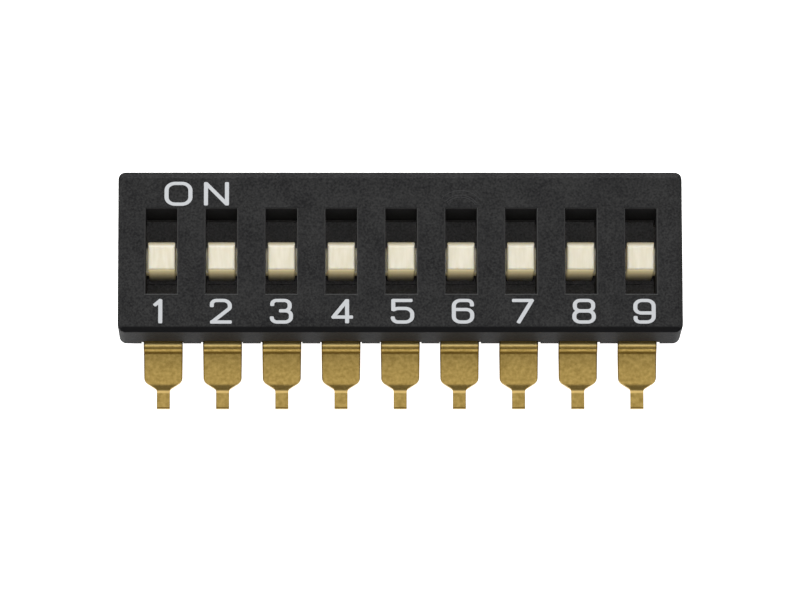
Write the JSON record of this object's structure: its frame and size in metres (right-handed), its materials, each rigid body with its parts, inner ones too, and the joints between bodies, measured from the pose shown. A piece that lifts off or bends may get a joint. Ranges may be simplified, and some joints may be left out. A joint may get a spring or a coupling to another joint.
{
  "type": "slide dip switch",
  "caption": "Surface-mount slide DIP switch: a black housing with a row of cream sliders and broad gold leads.",
  "frame": {"origin": "middle of the underside of the base, on the board", "axes": "+X along the row from position 1 to position 9, +Y towards ON, +Z out of the face"},
  "size_m": [0.024, 0.01, 0.0053],
  "materials": {
    "cover_plastic": "moulded black PBT, fine matt texture",
    "base_plastic": "moulded black PBT, smooth",
    "slider_plastic": "moulded cream nylon",
    "terminal_plating": "stamped brass, gold plated",
    "contact_plating": "spring strip, gold plated"
  },
  "bodies": {
    "housing": {"cover": "cover_plastic", "base": "base_plastic", "front_terminal_1": "terminal_plating", "front_terminal_2": "terminal_plating", "front_terminal_3": "terminal_plating", "front_terminal_4": "terminal_plating", "front_terminal_5": "terminal_plating", "front_terminal_6": "terminal_plating", "front_terminal_7": "terminal_plating", "front_terminal_8": "terminal_plating", "front_terminal_9": "terminal_plating", "rear_terminal_1": "terminal_plating", "rear_terminal_2": "terminal_plating", "rear_terminal_3": "terminal_plating", "rear_terminal_4": "terminal_plating", "rear_terminal_5": "terminal_plating", "rear_terminal_6": "terminal_plating", "rear_terminal_7": "terminal_plating", "rear_terminal_8": "terminal_plating", "rear_terminal_9": "terminal_plating"},
    "switch_1": {"slider_1": "slider_plastic", "contact_1": "contact_plating"},
    "switch_2": {"slider_2": "slider_plastic", "contact_2": "contact_plating"},
    "switch_3": {"slider_3": "slider_plastic", "contact_3": "contact_plating"},
    "switch_4": {"slider_4": "slider_plastic", "contact_4": "contact_plating"},
    "switch_5": {"slider_5": "slider_plastic", "contact_5": "contact_plating"},
    "switch_6": {"slider_6": "slider_plastic", "contact_6": "contact_plating"},
    "switch_7": {"slider_7": "slider_plastic", "contact_7": "contact_plating"},
    "switch_8": {"slider_8": "slider_plastic", "contact_8": "contact_plating"},
    "switch_9": {"slider_9": "slider_plastic", "contact_9": "contact_plating"}
  },
  "joints": [
    {"name": "slide_1", "type": "slide", "parent": "housing", "child": "switch_1", "axis": [0, 1, 0], "range_m": [0, 0.0012]},
    {"name": "slide_2", "type": "slide", "parent": "housing", "child": "switch_2", "axis": [0, 1, 0], "range_m": [0, 0.0012]},
    {"name": "slide_3", "type": "slide", "parent": "housing", "child": "switch_3", "axis": [0, 1, 0], "range_m": [0, 0.0012]},
    {"name": "slide_4", "type": "slide", "parent": "housing", "child": "switch_4", "axis": [0, 1, 0], "range_m": [0, 0.0012]},
    {"name": "slide_5", "type": "slide", "parent": "housing", "child": "switch_5", "axis": [0, 1, 0], "range_m": [0, 0.0012]},
    {"name": "slide_6", "type": "slide", "parent": "housing", "child": "switch_6", "axis": [0, 1, 0], "range_m": [0, 0.0012]},
    {"name": "slide_7", "type": "slide", "parent": "housing", "child": "switch_7", "axis": [0, 1, 0], "range_m": [0, 0.0012]},
    {"name": "slide_8", "type": "slide", "parent": "housing", "child": "switch_8", "axis": [0, 1, 0], "range_m": [0, 0.0012]},
    {"name": "slide_9", "type": "slide", "parent": "housing", "child": "switch_9", "axis": [0, 1, 0], "range_m": [0, 0.0012]}
  ]
}
